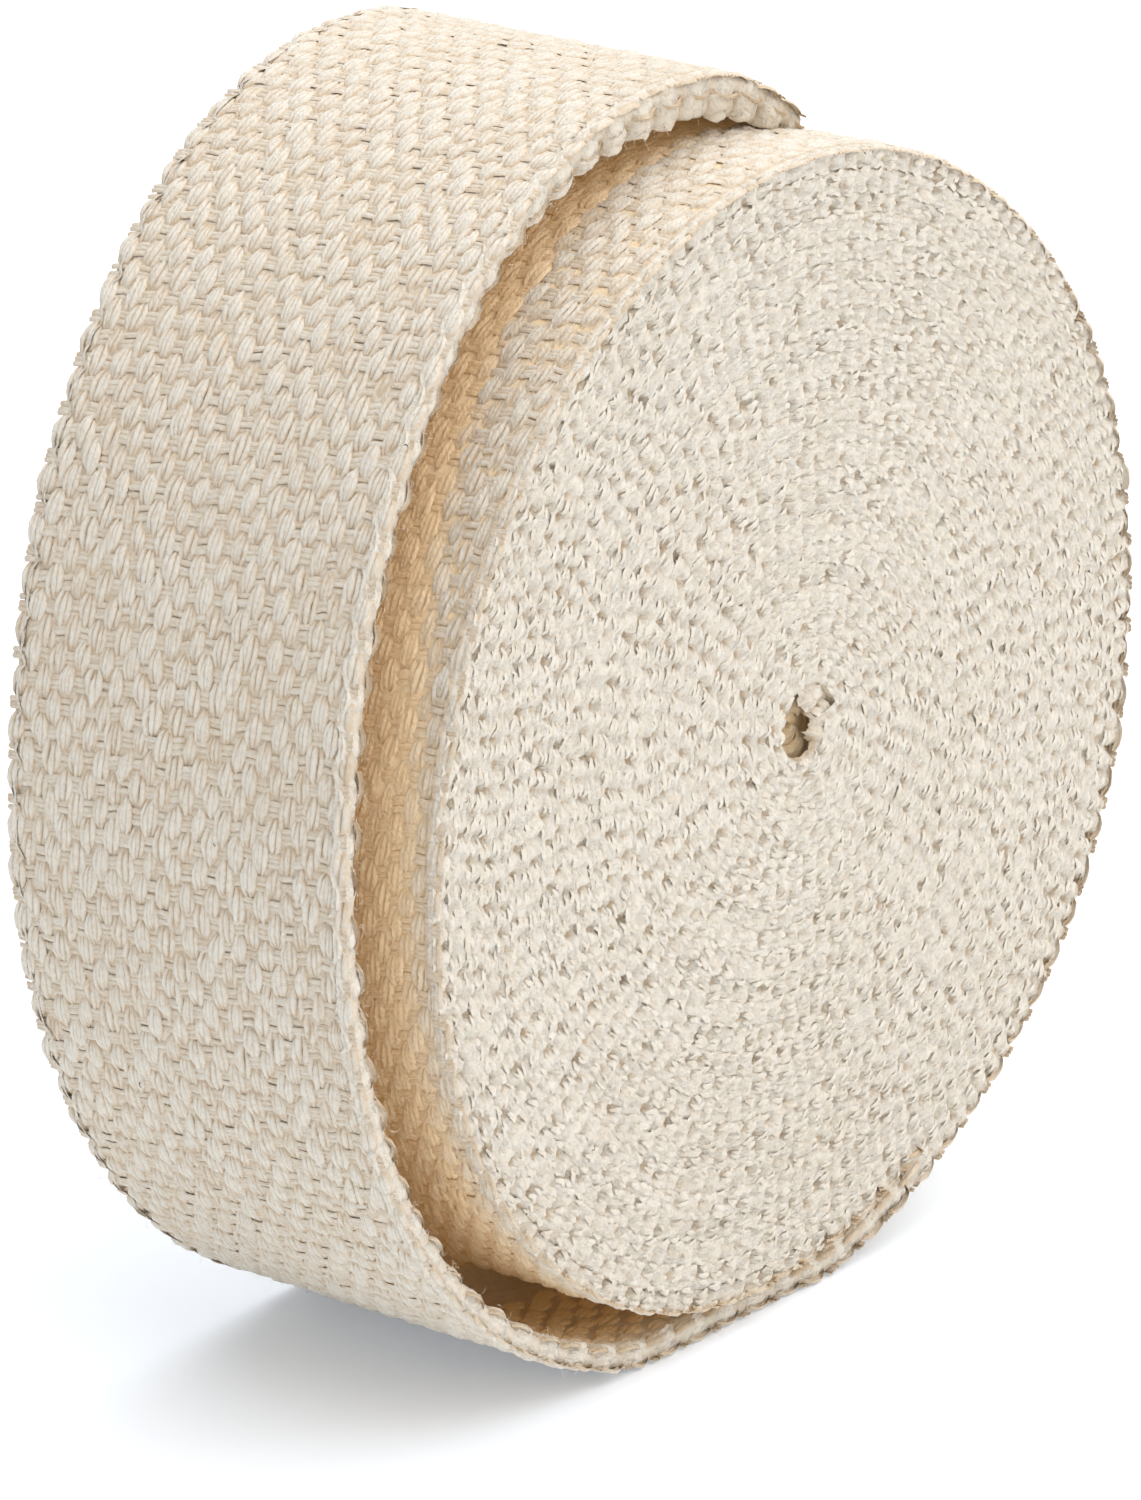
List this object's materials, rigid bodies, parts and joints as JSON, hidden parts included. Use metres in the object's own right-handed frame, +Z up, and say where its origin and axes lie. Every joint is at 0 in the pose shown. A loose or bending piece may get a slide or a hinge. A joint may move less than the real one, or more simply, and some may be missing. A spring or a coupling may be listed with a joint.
{
  "type": "roll of cotton webbing",
  "caption": "Coil of wide ecru cotton webbing standing on its edge, its outermost turn slack and slid sideways off the coil, with a small eye in the middle.",
  "frame": {"origin": "on the ground under the coil's axis, half way across the coil, in the middle of the flat spot that it rests on", "axes": "+X along the coil's axis and out of its open face, +Z up, -Y towards the side where the slack turn bulges"},
  "size_m": [0.0475, 0.1159, 0.117],
  "materials": {
    "cotton_webbing": "matte"
  },
  "bodies": {
    "root": {"webbing_roll": "cotton_webbing"}
  },
  "joints": []
}
